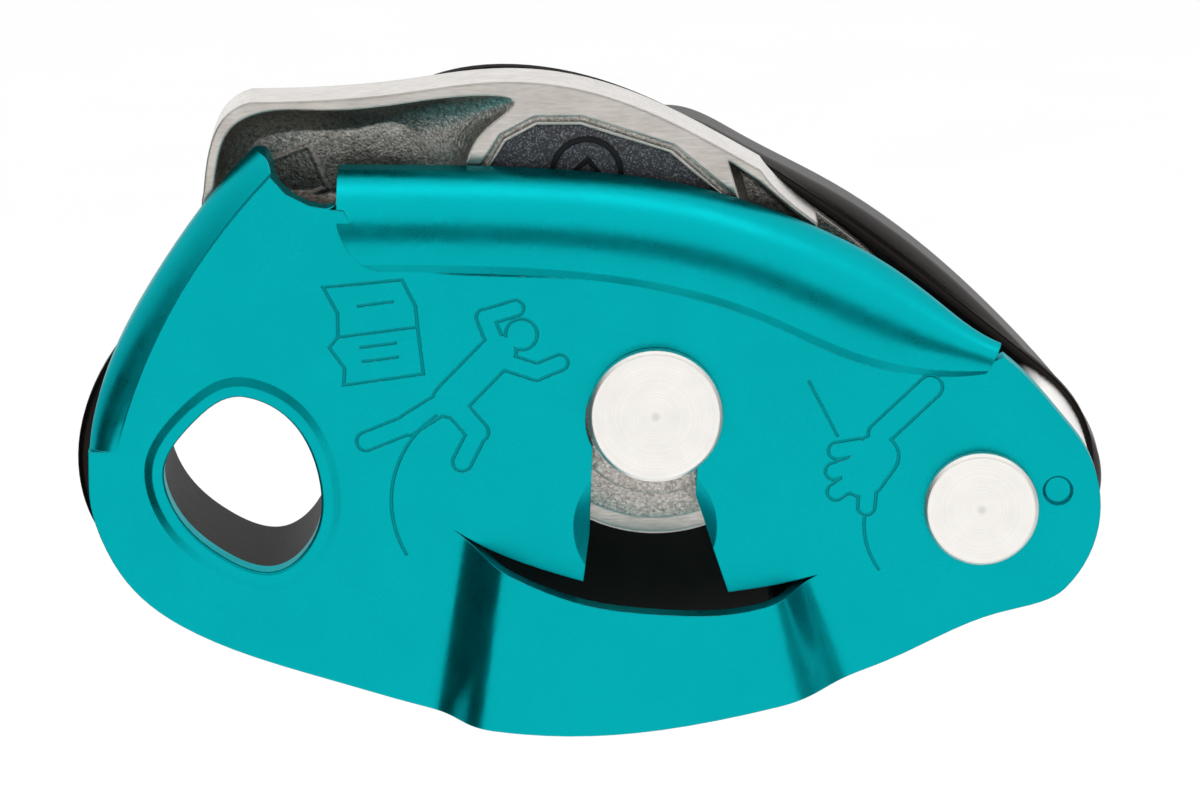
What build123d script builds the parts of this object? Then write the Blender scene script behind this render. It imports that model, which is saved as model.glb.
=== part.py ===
"""Belay device with a locking cam, as separate pieces in one frame (millimetres).

X runs from the attachment hole to the pivot rivet, Y from the moving plate to the
fixed plate and handle, Z up.  The origin is the centre of the attachment hole on the
inner face of the fixed plate.  Seen from the front, clockwise is positive about +Y.
"""
from build123d import *
import math
import os

os.makedirs("parts", exist_ok=True)

# ---- driving dimensions -------------------------------------------------------------
AXLE_X, AXLE_Z = 43.0, 8.2
RIVET_X, RIVET_Z = 77.0, -1.8
SHEET = 2.6                      # thickness of the moving plate
CHANNEL = 16.9                   # rope channel between the two plates
BACK_PLATE = 3.0                 # thickness of the fixed plate
GAP = 0.3                        # clearance between parts that turn past each other
FIT = 0.05                       # radial clearance of a running fit

AXLE_R = 4.45
AXLE_HEAD_R, AXLE_HEAD_T = 7.0, 1.7
RIVET_R = 3.5
RIVET_HEAD_R, RIVET_HEAD_T = 6.0, 1.5
END_R = 12.5                     # rounding of every plate about the pivot rivet
BRIDGE_RISE = 4.8                # how far the bridge stands in front of the plate
LIP_BULGE = 0.7                  # how far the rolled lip stands in front of the plate
RIM_RISE = 0.4                   # how far the attachment hole's rim stands out
LEAF_DEPTH = 9.5                 # how far flange and lip reach back from the outer face
CAM_SWING = 25                   # degrees from rest to fully locked
HANDLE_SWING = 150               # degrees from folded to the drive pin
PLATE_SWING = 105                # degrees from closed to fully open
DRIVE_R, DRIVE_PIN_R = 10.6, 1.8   # place and radius of the cam's drive pin
DRIVE_ANGLE = 205                # where the drive pin sits about the axle at rest
STOP_R, STOP_ANGLE = 8.2, 12     # place of the plate's stop boss about the rivet
WIRE_R, COIL_R = 0.45, 7.75      # cam return spring

FACE_IN = -CHANNEL               # inner face of the moving plate
FACE_OUT = FACE_IN - SHEET       # outer face of the moving plate
LEAF_BACK = FACE_OUT + LEAF_DEPTH
BLOCK_FRONT = FACE_IN + GAP      # front of the fixed blocks inside the channel
CAM_FRONT = FACE_IN + 0.5
CAM_BACK = -1.0
CAST_FRONT = -9.1                # front of the cam's thumb rest
CORE_FRONT = BACK_PLATE + 0.4
CORE_BACK = CORE_FRONT + 3.8
GRIP_BACK = 13.0
HALF = math.sqrt(0.5)


def front(y):
    """Sketch plane at depth y whose local x, y are +X, +Z and whose normal is -Y."""
    return Plane(origin=(0, y, 0), x_dir=(1, 0, 0), z_dir=(0, -1, 0))


def about(x, z, radius, degrees):
    """Point at a radius and angle about (x, z)."""
    angle = math.radians(degrees)
    return (x + radius * math.cos(angle), z + radius * math.sin(angle))


def axle_polar(radius, degrees):
    return about(AXLE_X, AXLE_Z, radius, degrees)


def rivet_polar(radius, degrees):
    return about(RIVET_X, RIVET_Z, radius, degrees)


def ring(x, z, outer, inner):
    """Disc or washer outline about (x, z)."""
    with BuildSketch() as outline:
        with Locations((x, z)):
            Circle(outer)
            if inner:
                Circle(inner, mode=Mode.SUBTRACT)
    return outline.sketch


def arc_slot(x, z, radius, half_width, start, end):
    """Arc-shaped slot about (x, z) from a start angle to an end angle."""
    with BuildLine() as centre:
        ThreePointArc(about(x, z, radius, start), about(x, z, radius, (start + end) / 2),
                      about(x, z, radius, end))
    with BuildSketch() as outline:
        SlotArc(arc=centre.edge(), height=2 * half_width)
    return outline.sketch


def smooth_outline(points):
    """Face inside a closed smooth curve."""
    with BuildSketch() as outline:
        with BuildLine():
            Spline(*points, periodic=True)
        make_face()
    return outline.sketch


# ---- attachment hole ----------------------------------------------------------------
HOLE = [(0.3, 9.9), (5.2, 7.1), (7.9, 1.0), (7.5, -4.6), (3.4, -8.7),
        (-2.6, -6.9), (-7.1, -2.4), (-8.3, 2.2), (-5.4, 7.0)]


def hole_outline(grow):
    """Attachment hole outline, grown outward by an amount."""
    lengths = [math.hypot(x, z) for x, z in HOLE]
    with BuildSketch() as outline:
        with BuildLine():
            Spline(*[(x + grow * x / r, z + grow * z / r) for (x, z), r in zip(HOLE, lengths)],
                   periodic=True)
        make_face()
    return outline.sketch


# ---- moving side plate: outlines ----------------------------------------------------
LEFT_EDGE = [(5.0, 37.6), (-1.4, 32.1), (-6.6, 25.4), (-10.8, 18.9), (-14.0, 12.6), (-16.2, 4.0)]
BOTTOM_EDGE = [(79.0, -13.2), (69.0, -17.6), (52.0, -23.1), (37.0, -25.3), (22.0, -24.1),
               (10.0, -20.8), (-4.9, -15.6), (-12.6, -9.6), (-15.9, -2.4), (-16.2, 4.0)]
NOTCH = [(3.0, 33.2), (4.6, 31.4), (7.0, 30.2), (8.6, 29.9), (10.6, 29.6), (12.5, 26.0),
         (13.0, 24.5)]
HORN = [(-2.6, 33.0), (0.2, 34.2), (1.5, 34.7), (2.5, 34.3), (3.0, 33.2), (4.6, 31.4),
        (7.0, 30.2), (8.6, 29.9), (9.6, 30.2)]
SLIT = [(21.8, -4.2), (25.4, -6.3), (30.1, -8.2), (36.0, -10.0), (44.0, -11.5), (50.6, -11.0),
        (55.6, -10.2), (60.0, -9.1)]
BRIDGE_TOP = [(21.8, -4.2), (25.8, -7.0), (30.6, -9.5), (36.3, -11.4), (43.8, -12.3),
              (50.2, -12.3), (54.4, -11.5), (57.4, -10.4), (60.0, -9.1)]
# crease that the rolled lip rises from, and the lip's top
LIP_CREASE = [(5.0, 23.2), (20.0, 23.1), (34.0, 22.5), (46.0, 20.6), (54.0, 18.0), (61.0, 14.8),
              (68.0, 12.6), (77.6, 12.8)]
LIP_TOP = [(5.0, 32.8), (20.0, 32.7), (35.0, 32.1), (49.0, 30.0), (58.0, 27.0), (66.4, 23.0),
           (72.6, 18.9), (79.0, 15.2)]
LIP_STATIONS = 12
LIP_FADE = 0.5                   # share of its length over which the lip's leaf runs out
LEAST_ROLL = 2.64                # smallest outer radius of the lip's roll


def plate_outline():
    """Outline of the flat sheet, from the left bend round the bottom to the lip."""
    corner = rivet_polar(END_R, -45)
    shoulder = rivet_polar(END_R, 40)
    with BuildSketch() as outline:
        with BuildLine():
            Spline((-13.3, 4.0), (-8.2, 17.6), NOTCH[0])
            Polyline(*NOTCH)
            Spline(NOTCH[-1], *LIP_CREASE[1:-1], (79.2, 14.2))
            Spline((79.2, 14.2), (82.5, 11.1), (84.8, 8.4), shoulder)
            ThreePointArc(shoulder, rivet_polar(END_R, 0), corner)
            Spline(corner, *BOTTOM_EDGE, tangents=[(-1, -1), (0, 1)])
            Line(BOTTOM_EDGE[-1], (-13.3, 4.0))
        make_face()
    return outline.sketch


def below(edge):
    """Everything below one edge of the slit, where the bridge takes over from the sheet."""
    with BuildSketch() as outline:
        with BuildLine():
            Spline(*edge)
            Polyline(edge[-1], (69.8, -30.0), (17.6, -30.0), edge[0])
        make_face()
    return outline.sketch


def slot_outline():
    """Slot that the axle's neck leaves the plate by."""
    with BuildSketch() as outline:
        with BuildLine():
            Line((36.4, 4.5), (36.1, -5.0))
            Line((36.1, -5.0), (35.0, -13.0))
            Line((35.0, -13.0), (51.3, -13.0))
            Line((51.3, -13.0), (47.2, -0.9))
            Line((47.2, -0.9), (47.4, 4.5))
            ThreePointArc((47.4, 4.5), (AXLE_X, AXLE_Z + AXLE_R + 0.9), (36.4, 4.5))
        make_face()
    return outline.sketch


# ---- moving side plate: bends -------------------------------------------------------
def bend_plane(base, along):
    """Section plane across an edge; local x points into the plate, local y points back."""
    return Plane(origin=base, x_dir=(-along.Z, 0, along.X), z_dir=-along)


def flange_section(radius, depth):
    """Quarter bend from the outer face to a leaf that ends at the given depth."""
    inner = radius - SHEET
    turn = FACE_OUT + radius
    with BuildSketch() as section:
        with BuildLine():
            Polyline((radius, FACE_OUT), (radius + 0.4, FACE_OUT), (radius + 0.4, FACE_IN),
                     (radius, FACE_IN))
            ThreePointArc((radius, FACE_IN), (radius - inner * HALF, turn - inner * HALF),
                          (SHEET, turn))
            Polyline((SHEET, turn), (SHEET, depth), (0, depth), (0, turn))
            ThreePointArc((0, turn), (radius - radius * HALF, turn - radius * HALF),
                          (radius, FACE_OUT))
        make_face()
    return section.sketch


def lip_section(height, reach):
    """Section of the rolled lip: small bulge, quarter roll and a leaf of some reach."""
    # the lower the lip, the tighter its roll, to leave the rope its way out at the right
    tight = max(LEAST_ROLL, height * (0.58 + 0.022 * height))
    radius = min(height * (1 - 0.02 * height), tight)
    inner = radius - SHEET
    start = height - radius
    nose = FACE_OUT - LIP_BULGE
    turn = nose + radius
    shallow = turn + 0.3
    depth = shallow + reach * (LEAF_BACK - shallow)
    root = (-1.2, FACE_IN - 0.9)
    with BuildSketch() as section:
        with BuildLine():
            Polyline(root, (-1.2, FACE_OUT + 0.9), (0.5 * start, nose), (start, nose))
            ThreePointArc((start, nose), (start + radius * HALF, turn - radius * HALF),
                          (height, turn))
            Polyline((height, turn), (height, depth), (height - SHEET, depth),
                     (height - SHEET, turn))
            ThreePointArc((height - SHEET, turn), (start + inner * HALF, turn - inner * HALF),
                          (start, nose + SHEET))
            Line((start, nose + SHEET), root)
        make_face()
    return section.sketch


def bridge_profile(left_start, left_end, right_start, right_end):
    """Top view of the bridge: two S-bends with a level run between them."""
    out, high = FACE_OUT, FACE_OUT - BRIDGE_RISE
    level = [(1, 0), (1, 0)]
    lead = 1.5
    with BuildSketch() as section:
        with BuildLine():
            Line((left_start - lead, out), (left_start, out))
            Spline((left_start, out), (left_end, high), tangents=level)
            Line((left_end, high), (right_start, high))
            Spline((right_start, high), (right_end, out), tangents=level)
            Line((right_end, out), (right_end + lead, out))
            Line((right_end + lead, out), (right_end + lead, out + SHEET))
            Line((right_end + lead, out + SHEET), (right_end - 0.6, out + SHEET))
            Spline((right_end - 0.6, out + SHEET), (right_start - 0.6, high + SHEET),
                   tangents=[(-1, 0), (-1, 0)])
            Line((right_start - 0.6, high + SHEET), (left_end + 0.6, high + SHEET))
            Spline((left_end + 0.6, high + SHEET), (left_start + 0.6, out + SHEET),
                   tangents=[(-1, 0), (-1, 0)])
            Line((left_start + 0.6, out + SHEET), (left_start - lead, out + SHEET))
            Line((left_start - lead, out + SHEET), (left_start - lead, out))
        make_face()
    return section.sketch


with BuildLine(front(0)) as left_path:
    Spline(*LEFT_EDGE, tangents=[(-0.76, -0.65), (0, -1)])

# along the bend: share of its length, outer radius, depth of the leaf behind the outer face
FLANGE_STATIONS = [(0.0, 8.5, LEAF_DEPTH), (0.27, 8.0, LEAF_DEPTH), (0.55, 7.0, LEAF_DEPTH),
                   (0.78, 5.4, LEAF_DEPTH), (1.0, 2.9, 3.2)]

with BuildPart() as left_flange:
    for station, bend_r, depth in FLANGE_STATIONS:
        with BuildSketch(bend_plane(left_path.line @ station, left_path.line % station)):
            add(flange_section(bend_r, FACE_OUT + depth))
    loft()
    # notch beside the lip, which leaves the flange's top as a horn
    with BuildSketch(front(0)):
        with BuildLine():
            Spline(*HORN)
            Polyline(HORN[-1], (14.0, 29.6), (14.0, 50.0), (-20.0, 50.0), (-20.0, 33.0), HORN[0])
        make_face()
    extrude(amount=30, mode=Mode.SUBTRACT)

with BuildLine(front(0)) as crease_path:
    Spline(*LIP_CREASE)

with BuildLine(front(0)) as top_path:
    Spline(*LIP_TOP)

with BuildPart() as rolled_lip:
    for number in range(LIP_STATIONS):
        share = number / (LIP_STATIONS - 1)
        crease = crease_path.line @ share
        rise = top_path.line @ share - crease
        with BuildSketch(Plane(origin=crease, x_dir=rise, z_dir=rise.cross(Axis.Y.direction))):
            add(lip_section(rise.length, min(1.0, (1 - share) / LIP_FADE)))
    loft()
    # round the lip's left end
    with BuildSketch(front(0)):
        with BuildLine():
            Polyline((11.4, 60.0), (11.4, 33.6))
            ThreePointArc((11.4, 33.6), (10.2, 33.2), (9.8, 32.0))
            Line((9.8, 32.0), (9.8, 29.4))
            ThreePointArc((9.8, 29.4), (11.3, 25.2), (15.0, 23.0))
            Polyline((15.0, 23.0), (15.0, 12.0), (0.0, 12.0), (0.0, 60.0), (11.4, 60.0))
        make_face()
    extrude(amount=40, mode=Mode.SUBTRACT)

# the bridge is the bent strip, trimmed to the outline below the slit
with BuildPart() as bridge_strip:
    with BuildSketch(Plane.XY.offset(-2.0)):
        add(bridge_profile(22.3, 29.0, 52.9, 56.6))
    with BuildSketch(Plane.XY.offset(-30.0)):
        add(bridge_profile(17.7, 25.6, 57.0, 69.7))
    loft()

with BuildPart() as bridge:
    with BuildSketch(front(FACE_IN)):
        add(below(BRIDGE_TOP))
    extrude(amount=SHEET + BRIDGE_RISE)
    with BuildSketch(front(FACE_IN)):
        add(plate_outline())
    extrude(amount=SHEET + BRIDGE_RISE, mode=Mode.INTERSECT)
    add(bridge_strip.part, mode=Mode.INTERSECT)

with BuildPart() as hole_rim:
    with BuildSketch(front(FACE_OUT + 0.1)):
        add(hole_outline(2.3))
    with BuildSketch(front(FACE_OUT - RIM_RISE)):
        add(hole_outline(1.2))
    loft()
    with BuildSketch(front(FACE_OUT + 0.1)):
        add(hole_outline(0))
    extrude(amount=RIM_RISE + 0.1, mode=Mode.SUBTRACT)
    fillet(faces().sort_by(Axis.Y)[0].edges(), 0.3)

# ---- moving side plate: engraved pictograms --------------------------------------------
ENGRAVE = 0.15                   # depth of the engraved lines
LINE_W = 0.3                     # width of the engraved lines
PAGES = [[(8.4, 21.6), (16.6, 22.4), (18.0, 19.6), (18.2, 17.4)],
         [(8.4, 21.6), (9.9, 18.8), (9.9, 16.3), (18.2, 17.4)],
         [(9.9, 16.3), (9.0, 15.2), (10.6, 13.0), (10.5, 11.2), (18.8, 12.4), (18.2, 17.4)],
         [(12.2, 15.2), (16.0, 15.7)], [(12.4, 13.7), (16.2, 14.2)],
         [(11.9, 19.6), (15.7, 20.1)]]
LIMBS = [((26.6, 14.8), (21.6, 9.6), 3.4), ((26.4, 15.4), (25.2, 18.4), 1.5),
         ((25.2, 18.4), (28.4, 19.4), 1.4), ((27.0, 13.8), (30.6, 12.6), 1.5),
         ((30.6, 12.6), (33.0, 13.6), 1.4), ((21.0, 9.4), (17.2, 7.0), 2.0),
         ((17.2, 7.0), (12.8, 5.2), 1.7), ((22.2, 8.8), (24.4, 6.2), 2.0),
         ((24.4, 6.2), (22.8, 3.0), 1.7)]
FINGERS = [((66.4, 6.0), (71.6, 11.0), 2.2), ((66.0, 3.6), (64.6, 1.6), 4.4),
           ((64.2, 4.6), (61.9, 4.2), 1.5), ((63.8, 2.8), (61.6, 2.0), 1.5),
           ((63.6, 1.0), (61.8, -0.2), 1.5), ((65.2, 0.4), (65.0, -1.8), 1.5)]


def capsules(limbs):
    """Rounded limbs, each from one point to another with its width."""
    with BuildSketch() as outline:
        for (x0, z0), (x1, z1), width in limbs:
            with Locations(((x0 + x1) / 2, (z0 + z1) / 2)):
                SlotCenterToCenter(math.hypot(x1 - x0, z1 - z0), width,
                                   rotation=math.degrees(math.atan2(z1 - z0, x1 - x0)))
    return outline.sketch


def climber_outline():
    """Falling climber: limbs and a round head."""
    with BuildSketch() as outline:
        add(capsules(LIMBS))
        with Locations((29.0, 16.6)):
            Circle(1.5)
    return outline.sketch


def hand_outline():
    """Hand that holds the rope."""
    return capsules(FINGERS)


def engraved_shape(shape):
    """Line of the engraving's width round a shape."""
    with BuildSketch() as outline:
        add(shape)
        offset(amount=LINE_W)
        add(shape, mode=Mode.SUBTRACT)
    return outline.sketch


def engraved_lines():
    """Open book, rope on each side of the slot, and the rope above the hand."""
    with BuildSketch() as outline:
        with BuildLine() as strokes:
            for page in PAGES:
                Polyline(*page)
            ThreePointArc((20.2, 8.0), (15.6, 1.0), (17.0, -7.0))
            ThreePointArc((64.8, -2.9), (65.0, -5.6), (66.4, -8.6))
            Line((58.9, 11.7), (62.0, 5.7))
        trace(lines=strokes.wires(), line_width=LINE_W)
    return outline.sketch


with BuildPart() as moving_side_plate:
    with BuildSketch(front(FACE_IN)):
        add(plate_outline())
    extrude(amount=SHEET)
    with BuildSketch(front(FACE_IN)):
        add(below(SLIT))
    extrude(amount=SHEET, mode=Mode.SUBTRACT)
    # bevels dished into the two edges of the axle's slot
    with Locations((41.9, FACE_OUT - 6.6, -4.0)):
        Sphere(10.0, mode=Mode.SUBTRACT)
    add(bridge.part)
    add(left_flange.part)
    add(rolled_lip.part)
    # slot for the axle's neck
    with BuildSketch(front(FACE_IN)):
        add(slot_outline())
    extrude(amount=SHEET, mode=Mode.SUBTRACT)
    # raised rim and the attachment hole through it
    add(hole_rim.part)
    with BuildSketch(front(FACE_IN + 1)):
        add(hole_outline(0))
    extrude(amount=SHEET + 3, mode=Mode.SUBTRACT)
    # pivot hole for the bush
    with BuildSketch(front(FACE_IN)):
        add(ring(RIVET_X, RIVET_Z, RIVET_R + 1.1, 0))
    extrude(amount=SHEET, mode=Mode.SUBTRACT)
    # stop boss pressed through from a round dimple
    stop_x, stop_z = rivet_polar(STOP_R, STOP_ANGLE)
    with Locations(Location((stop_x, FACE_OUT, stop_z), (90, 0, 0))):
        Cone(1.3, 1.9, 1.2, mode=Mode.SUBTRACT)
    with BuildSketch(front(FACE_IN + 0.6)):
        add(ring(stop_x, stop_z, 1.5, 0))
    extrude(amount=0.8)
    # engraved pictograms
    with BuildSketch(front(FACE_OUT + ENGRAVE)):
        add(engraved_lines())
        add(engraved_shape(climber_outline()))
        add(engraved_shape(hand_outline()))
    extrude(amount=1.0, mode=Mode.SUBTRACT)


# ---- fixed side plate ---------------------------------------------------------------
FIXED_EDGE = [(83.5, 9.4), (74.0, 17.0), (62.0, 26.0), (50.0, 33.6), (40.0, 38.6), (28.0, 41.2),
              (18.0, 39.4), (10.0, 33.0), (1.0, 24.6), (-8.0, 17.6), (-15.4, 9.2), (-18.5, -0.6),
              (-16.4, -9.0), (-9.0, -15.0), (4.0, -18.6), (20.0, -22.6), (37.0, -24.4),
              (54.0, -21.6), (68.0, -16.8), (80.0, -13.2), (87.6, -9.2), (89.9, -1.8), (88.2, 4.4)]


def fixed_outline():
    """Outline of the fixed plate."""
    with BuildSketch() as outline:
        with BuildLine():
            Spline(*FIXED_EDGE, periodic=True)
        make_face()
    return outline.sketch


GUIDE_RIVETS = [axle_polar(26.6, -30), axle_polar(26.6, -46)]
GUIDE_RIVET_R, GUIDE_RIVET_HEAD_R = 1.5, 2.0
SEAT = 0.1                       # clearance round a head in its seat

with BuildPart() as fixed_side_plate:
    with BuildSketch(front(BACK_PLATE)):
        add(fixed_outline())
    extrude(amount=BACK_PLATE)
    fillet(faces().filter_by(Axis.Y).edges(), 0.7)
    with BuildSketch(front(BACK_PLATE)):
        add(hole_outline(2.8))
        add(ring(AXLE_X, AXLE_Z, AXLE_R, 0))
        add(ring(RIVET_X, RIVET_Z, RIVET_R, 0))
        add(arc_slot(AXLE_X, AXLE_Z, DRIVE_R, DRIVE_PIN_R + GAP,
                     DRIVE_ANGLE - CAM_SWING - 2, DRIVE_ANGLE + 2))
        add(ring(*axle_polar(COIL_R, -90), WIRE_R + FIT, 0))
        for x, z in GUIDE_RIVETS:
            add(ring(x, z, GUIDE_RIVET_R, 0))
    extrude(amount=BACK_PLATE, mode=Mode.SUBTRACT)
    # countersinks for the flush rivet ends
    with BuildSketch(front(BACK_PLATE)):
        add(ring(RIVET_X, RIVET_Z, 5.2, 0))
        for x, z in GUIDE_RIVETS:
            add(ring(x, z, GUIDE_RIVET_HEAD_R + SEAT, 0))
    extrude(amount=1.4, mode=Mode.SUBTRACT)

with BuildPart() as attachment_collar:
    with BuildSketch(front(BACK_PLATE)):
        add(hole_outline(2.8))
    extrude(amount=BACK_PLATE - BLOCK_FRONT)
    with BuildSketch(front(BACK_PLATE)):
        add(hole_outline(0.3))
    extrude(amount=BACK_PLATE - BLOCK_FRONT, mode=Mode.SUBTRACT)
    fillet(faces().filter_by(Axis.Y).edges().group_by(SortBy.LENGTH)[0], 0.8)

# ---- friction plate -----------------------------------------------------------------
GUIDE_R = 12.2                   # polished brake guide around the pivot
BRAKE_R = 23.0                   # face that the cam squeezes the rope against


def friction_outline():
    """Curved rope face on the left, round brake guide on the right."""
    top = axle_polar(BRAKE_R, -16)
    bottom = axle_polar(BRAKE_R, -58)
    with BuildSketch() as outline:
        with BuildLine():
            ThreePointArc(bottom, axle_polar(BRAKE_R, -40), top)
            Spline(top, (68.6, 4.6), rivet_polar(GUIDE_R, 100), tangents=[(0.5, 1), (1, 0.15)])
            ThreePointArc(rivet_polar(GUIDE_R, 100), rivet_polar(GUIDE_R, 20),
                          rivet_polar(GUIDE_R, -60))
            Spline(rivet_polar(GUIDE_R, -60), (72.0, -14.2), (64.0, -15.2), (58.0, -15.6))
            ThreePointArc((58.0, -15.6), (55.4, -14.2), bottom)
        make_face()
    return outline.sketch


with BuildPart() as friction_plate:
    with BuildSketch(front(0)):
        add(friction_outline())
    extrude(amount=-BLOCK_FRONT)
    fillet(faces().filter_by(Axis.Y).sort_by(Axis.Y)[0].edges(), 1.2)
    with BuildSketch(front(0)):
        add(ring(RIVET_X, RIVET_Z, RIVET_R, 0))
        for x, z in GUIDE_RIVETS:
            add(ring(x, z, GUIDE_RIVET_R, 0))
    extrude(amount=-BLOCK_FRONT, mode=Mode.SUBTRACT)
    with BuildSketch(front(BLOCK_FRONT + 0.8)):
        add(ring(RIVET_X, RIVET_Z, 6.0, 0))
        add(arc_slot(RIVET_X, RIVET_Z, STOP_R, 1.5 + GAP, STOP_ANGLE - PLATE_SWING - 2,
                     STOP_ANGLE + 2))
        for x, z in GUIDE_RIVETS:
            add(ring(x, z, GUIDE_RIVET_HEAD_R + SEAT, 0))
    extrude(amount=0.8, mode=Mode.SUBTRACT)

with BuildPart() as friction_plate_rivets:
    for x, z in GUIDE_RIVETS:
        with BuildSketch(front(BACK_PLATE - 0.1)):
            add(ring(x, z, GUIDE_RIVET_HEAD_R, 0))
        extrude(amount=1.3)
        with BuildSketch(front(BACK_PLATE - 1.4)):
            add(ring(x, z, GUIDE_RIVET_R, 0))
        extrude(amount=BACK_PLATE - 1.4 - BLOCK_FRONT - 0.8)
        with BuildSketch(front(BLOCK_FRONT + 0.8)):
            add(ring(x, z, GUIDE_RIVET_HEAD_R, 0))
        extrude(amount=0.7)

# ---- axle and rivet -----------------------------------------------------------------
AXLE_BASE = Plane(origin=(AXLE_X, 0, AXLE_Z), x_dir=(1, 0, 0), z_dir=(0, -1, 0))
RIVET_BASE = Plane(origin=(RIVET_X, 0, RIVET_Z), x_dir=(1, 0, 0), z_dir=(0, -1, 0))


def turned(base, steps):
    """Turned part: steps of (radius, from y, to y) about a base plane's normal."""
    with BuildPart() as body:
        for radius, start, end in steps:
            with BuildSketch(base.offset(-end)):
                Circle(radius)
            extrude(amount=end - start)
    return body.part


HEAD_BACK = FACE_OUT - 0.2
WASHER_BACK = CORE_BACK + 1.8

with BuildPart() as main_axle:
    add(turned(AXLE_BASE, [(AXLE_HEAD_R, HEAD_BACK - AXLE_HEAD_T, HEAD_BACK),
                           (AXLE_R, HEAD_BACK, WASHER_BACK),
                           (6.3, -0.8, 0.0),
                           (6.2, WASHER_BACK, WASHER_BACK + 1.6)]))
    chamfer(edges().filter_by(GeomType.CIRCLE).sort_by(Axis.Y)[0], 0.35)
    chamfer(edges().filter_by(GeomType.CIRCLE).sort_by(Axis.Y)[-1], 0.5)

with BuildPart() as axle_rear_washer:
    with BuildSketch(front(WASHER_BACK)):
        add(ring(AXLE_X, AXLE_Z, 7.0, AXLE_R))
    extrude(amount=0.9)

with BuildPart() as pivot_rivet:
    add(turned(RIVET_BASE, [(RIVET_HEAD_R, FACE_OUT - 0.1 - RIVET_HEAD_T, FACE_OUT - 0.1),
                            (RIVET_R, FACE_OUT - 0.1, BACK_PLATE - 1.4),
                            (5.1, BACK_PLATE - 1.4, BACK_PLATE - 0.1)]))
    chamfer(edges().filter_by(GeomType.CIRCLE).sort_by(Axis.Y)[0], 0.35)

with BuildPart() as pivot_bush:
    with BuildSketch(front(FACE_IN)):
        add(ring(RIVET_X, RIVET_Z, RIVET_R + 1.1, RIVET_R + FIT))
    extrude(amount=SHEET)

with BuildPart() as pivot_spring_washer:
    with BuildSketch(front(BLOCK_FRONT + 0.75)):
        add(ring(RIVET_X, RIVET_Z, 5.8, RIVET_R + FIT))
    extrude(amount=0.85)

# ---- cam ----------------------------------------------------------------------------
BUSH_WALL = 1.3
CAM_TOP = [(-4.4, 29.5), (-3.9, 33.5), (-2.3, 37.4), (0.6, 39.2)]
CAM_CREST = [(8.0, 39.4), (16.0, 40.1), (24.0, 41.2), (32.0, 41.1), (40.0, 39.1),
             (48.5, 35.1), (54.0, 32.0)]
CAM_TAIL = [(60.5, 26.0), (66.0, 21.6), (68.0, 19.0), (66.4, 16.0)]
CAM_UNDER = [(52.0, 18.0), (30.0, 18.0), (18.0, 22.5), (6.0, 25.0), (-2.5, 26.0)]


def casting_outline():
    """Thumb rest of the cam, from its left end over the crest to the tail."""
    with BuildSketch() as outline:
        with BuildLine():
            Spline(*CAM_TOP)
            Spline(CAM_TOP[-1], *CAM_CREST)
            Spline(CAM_CREST[-1], *CAM_TAIL)
            Line(CAM_TAIL[-1], CAM_UNDER[0])
            Line(CAM_UNDER[0], CAM_UNDER[1])
            Spline(*CAM_UNDER[1:])
            Spline(CAM_UNDER[-1], (-4.2, 27.0), CAM_TOP[0])
        make_face()
    return outline.sketch


# scoop on the left of the thumb rest: its outline at the face and at two depths below it
SCOOP = {-0.2: [(-3.2, 29.6), (-2.8, 33.2), (-1.3, 36.6), (1.4, 38.0), (8.0, 38.3), (16.0, 39.0),
                (24.0, 39.9), (28.6, 39.4), (25.6, 36.6), (23.4, 33.2), (22.8, 29.0),
                (21.0, 25.6), (8.0, 26.6), (-1.2, 28.0)],
         3.0: [(-2.4, 29.8), (-2.0, 32.8), (-0.6, 35.4), (1.8, 36.7), (8.0, 37.1), (15.0, 37.6),
               (20.6, 37.8), (22.0, 36.6), (20.8, 34.6), (20.0, 32.2), (19.6, 29.0),
               (18.0, 26.8), (8.0, 27.6), (-0.6, 28.6)],
         4.4: [(-0.6, 30.4), (-0.2, 32.4), (0.9, 34.2), (2.8, 35.0), (8.0, 35.4), (12.6, 35.8),
               (16.4, 36.0), (17.4, 35.2), (17.0, 33.8), (16.6, 31.8), (16.0, 29.6),
               (14.4, 28.4), (8.0, 28.8), (0.8, 29.4)]}


def pocket_outline(grow):
    """Pocket for the insert panel, grown by an amount."""
    with BuildSketch() as outline:
        with BuildLine():
            Polyline((25.6, 24.4), (25.3, 31.6), (27.3, 35.0), (30.6, 36.8), (35.2, 36.8),
                     (44.6, 33.8), (49.9, 29.2), (48.6, 24.4), close=True)
        make_face()
        if grow:
            offset(amount=grow, kind=Kind.INTERSECTION)
        fillet(outline.sketch.vertices(), 2.2 + grow)
    return outline.sketch


def side_pocket_outline():
    """Small three-cornered pocket beside the panel."""
    with BuildSketch() as outline:
        with BuildLine():
            Polyline((50.6, 33.0), (54.0, 30.7), (60.0, 25.4), (58.0, 23.6), (53.2, 23.8),
                     (51.9, 28.6), close=True)
        make_face()
        fillet(outline.sketch.vertices(), 0.9)
    return outline.sketch


def lobe_outline():
    """Nose that squeezes the rope."""
    with BuildSketch() as outline:
        with BuildLine():
            Spline(axle_polar(7.5, 45), axle_polar(11.5, 12), axle_polar(14.2, -10),
                   axle_polar(15.4, -28), axle_polar(14.8, -50), axle_polar(13.4, -64))
            Line(axle_polar(13.4, -64), axle_polar(7.5, -88))
            Line(axle_polar(7.5, -88), axle_polar(7.5, 45))
        make_face()
    return outline.sketch


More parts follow.
